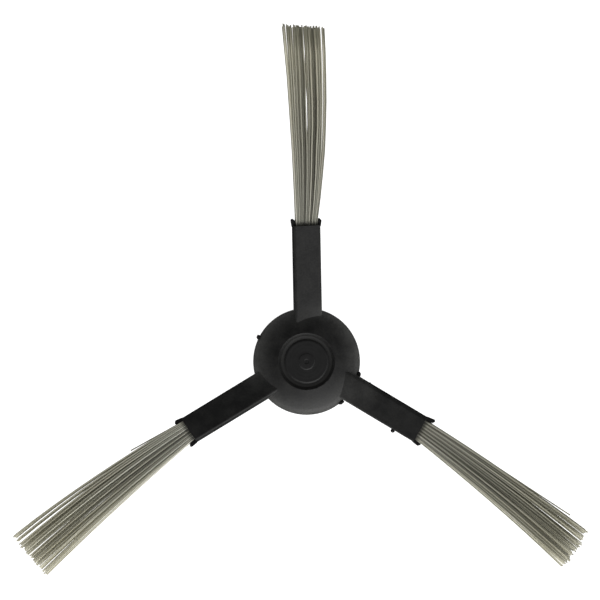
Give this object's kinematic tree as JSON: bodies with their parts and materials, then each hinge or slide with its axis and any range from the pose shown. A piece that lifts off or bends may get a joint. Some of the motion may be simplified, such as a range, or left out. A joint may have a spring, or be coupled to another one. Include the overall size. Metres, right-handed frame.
{
  "type": "robot vacuum side brush",
  "caption": "Side brush for a robot vacuum: a soft rubber hub on a hard core with a square drive socket, and twisted sleeve arms that each hold a fan of nylon bristles.",
  "frame": {"origin": "on the drive axis, in the end face of the boss that fits on the drive shaft", "axes": "+Z along the drive axis, out of the domed face towards the floor that is swept; +Y within about a degree of the first arm; +X across it, to the right when the domed face is seen with the first arm pointing up"},
  "size_m": [0.1434, 0.1395, 0.0228],
  "materials": {
    "soft_rubber": "matte moulded rubber",
    "hard_plastic": "matte moulded plastic",
    "nylon_bristle": "satin extruded nylon"
  },
  "bodies": {
    "root": {"drive_core": "hard_plastic", "rubber_body": "soft_rubber", "bristle_tuft_1": "nylon_bristle", "bristle_tuft_2": "nylon_bristle", "bristle_tuft_3": "nylon_bristle"}
  },
  "joints": []
}
